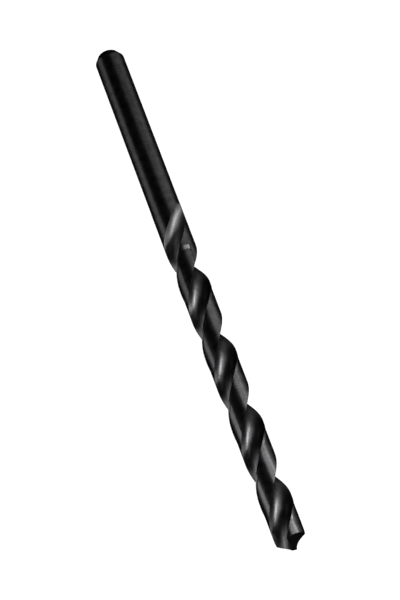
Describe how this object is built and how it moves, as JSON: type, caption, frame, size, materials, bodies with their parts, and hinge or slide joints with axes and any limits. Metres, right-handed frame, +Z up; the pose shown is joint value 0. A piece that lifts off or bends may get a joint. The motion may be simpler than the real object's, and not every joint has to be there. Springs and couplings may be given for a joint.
{
  "type": "twist drill bit",
  "caption": "Straight shank twist drill bit in blackened steel, with right-hand helical flutes, narrow margins and a conical cutting point. It is gripped in a chuck by its shank.",
  "frame": {"origin": "on the surface that the drill lies on, under the middle of its length", "axes": "+Y along the drill from its point to its shank, +Z up, +X across"},
  "size_m": [0.0048, 0.0886, 0.0048],
  "materials": {
    "blackened_steel": "black oxide over ground high speed steel, dull satin on the shank, slightly brighter in the flutes"
  },
  "bodies": {
    "root": {"twist_drill": "blackened_steel"}
  },
  "joints": []
}
